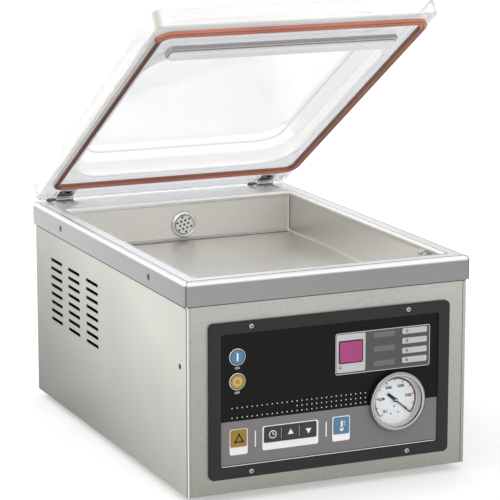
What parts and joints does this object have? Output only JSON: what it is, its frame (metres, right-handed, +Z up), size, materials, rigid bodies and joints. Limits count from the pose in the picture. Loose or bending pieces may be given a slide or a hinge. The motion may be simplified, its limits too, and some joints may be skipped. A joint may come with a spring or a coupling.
{
  "type": "chamber vacuum packing machine",
  "caption": "Table-top vacuum packing machine: steel cabinet with a chamber, seal bar, gauge and keys under a clear lid on sprung rear hinges.",
  "frame": {"origin": "on the table, under the middle of the overall box", "axes": "+X to the machine's right as seen from the front, +Y to the back, +Z up"},
  "size_m": [0.33, 0.491, 0.5072],
  "materials": {
    "brushed_sheet": "fine brushed",
    "bright_metal": "polished",
    "bezel": "satin",
    "overlay": "satin film",
    "black_rubber": "matte",
    "red_silicone": "matte",
    "white_silicone": "matte",
    "clear_acrylic": "clear polished",
    "gauge_glass": "clear",
    "blue_key": "satin",
    "yellow_key": "satin",
    "amber_key": "satin",
    "dark_key": "satin",
    "grey_plate": "satin",
    "magenta_window": "gloss",
    "dial_white": "matte",
    "dial_black": "matte",
    "cast_alloy": "as cast",
    "seal_tape": "woven",
    "circuit_board": "matte",
    "motor_enamel": "gloss enamel",
    "fan_plastic": "matte",
    "brass": "machined",
    "iron": "laminated",
    "copper": "wound"
  },
  "bodies": {
    "cabinet": {"base_tray": "brushed_sheet", "left_side_panel": "brushed_sheet", "right_side_panel": "brushed_sheet", "front_panel": "brushed_sheet", "back_panel": "brushed_sheet", "top_frame": "brushed_sheet", "vacuum_chamber": "brushed_sheet", "pump_plate": "brushed_sheet", "suction_grille": "bright_metal", "left_base_leaf": "bright_metal", "right_base_leaf": "bright_metal", "left_hinge_pin": "bright_metal", "right_hinge_pin": "bright_metal", "left_hinge_spring": "bright_metal", "right_hinge_spring": "bright_metal", "gauge_bezel": "bright_metal", "control_bezel": "bezel", "control_overlay": "overlay", "front_left_foot": "black_rubber", "front_right_foot": "black_rubber", "rear_left_foot": "black_rubber", "rear_right_foot": "black_rubber", "vacuum_hose": "black_rubber", "exhaust_hose": "black_rubber", "bladder_tube": "black_rubber", "lift_bladder": "black_rubber", "gauge_lens": "gauge_glass", "power_inlet": "dark_key", "display_plate": "grey_plate", "display_window": "magenta_window", "gauge_dial": "dial_white", "gauge_case": "dial_black", "pump_body": "cast_alloy", "control_board": "circuit_board", "motor_housing": "motor_enamel", "fan_cowl": "motor_enamel", "suction_elbow": "brass", "vacuum_valve": "brass", "air_valve": "brass", "exhaust_port": "brass", "transformer_core": "iron", "transformer_coil": "copper"},
    "lid": {"lid_shell": "clear_acrylic", "lid_gasket": "red_silicone", "pressure_bar": "cast_alloy", "pressure_strip": "white_silicone", "left_lid_leaf": "bright_metal", "right_lid_leaf": "bright_metal"},
    "needle": {"gauge_needle": "dial_black"},
    "seal_bar": {"seal_bar": "cast_alloy", "seal_wire": "seal_tape"},
    "rotor": {"motor_shaft": "bright_metal", "motor_fan": "fan_plastic"},
    "on_key": {"on_key": "blue_key"},
    "off_key": {"off_key": "yellow_key"},
    "stop_key": {"stop_key": "amber_key"},
    "set_key": {"set_key": "dark_key"},
    "up_key": {"up_key": "dark_key"},
    "down_key": {"down_key": "dark_key"},
    "temp_key": {"temp_key": "blue_key"}
  },
  "joints": [
    {"name": "lid_hinge", "type": "hinge", "parent": "cabinet", "child": "lid", "pos_m": [0, 0.224, 0.2415], "axis": [1, 0, 0], "range_deg": [0, 32.25], "stiffness_Nm_per_rad": 9, "springref_deg": -74.48, "deforming": ["left_hinge_spring", "right_hinge_spring"]},
    {"name": "seal_lift", "type": "slide", "parent": "cabinet", "child": "seal_bar", "axis": [0, 0, 1], "range_m": [0, 0.0075], "deforming": ["lift_bladder"]},
    {"name": "gauge_sweep", "type": "hinge", "parent": "cabinet", "child": "needle", "pos_m": [0.078, -0.238, 0.08805], "axis": [0, -1, 0], "range_deg": [0, 265], "stiffness_Nm_per_rad": 0.0005, "springref_deg": -11.46},
    {"name": "rotor_spin", "type": "hinge", "parent": "cabinet", "child": "rotor", "pos_m": [-0.06, -0.1156, 0.0988], "axis": [0, 1, 0], "continuous": true},
    {"name": "on_key_press", "type": "slide", "parent": "cabinet", "child": "on_key", "axis": [0, 1, 0], "range_m": [0, 0.0008], "stiffness_N_per_m": 1500, "springref_m": -0.0006},
    {"name": "off_key_press", "type": "slide", "parent": "cabinet", "child": "off_key", "axis": [0, 1, 0], "range_m": [0, 0.0008], "stiffness_N_per_m": 1500, "springref_m": -0.0006},
    {"name": "stop_key_press", "type": "slide", "parent": "cabinet", "child": "stop_key", "axis": [0, 1, 0], "range_m": [0, 0.0008], "stiffness_N_per_m": 1500, "springref_m": -0.0006},
    {"name": "set_key_press", "type": "slide", "parent": "cabinet", "child": "set_key", "axis": [0, 1, 0], "range_m": [0, 0.0008], "stiffness_N_per_m": 1500, "springref_m": -0.0006},
    {"name": "up_key_press", "type": "slide", "parent": "cabinet", "child": "up_key", "axis": [0, 1, 0], "range_m": [0, 0.0008], "stiffness_N_per_m": 1500, "springref_m": -0.0006},
    {"name": "down_key_press", "type": "slide", "parent": "cabinet", "child": "down_key", "axis": [0, 1, 0], "range_m": [0, 0.0008], "stiffness_N_per_m": 1500, "springref_m": -0.0006},
    {"name": "temp_key_press", "type": "slide", "parent": "cabinet", "child": "temp_key", "axis": [0, 1, 0], "range_m": [0, 0.0008], "stiffness_N_per_m": 1500, "springref_m": -0.0006}
  ]
}
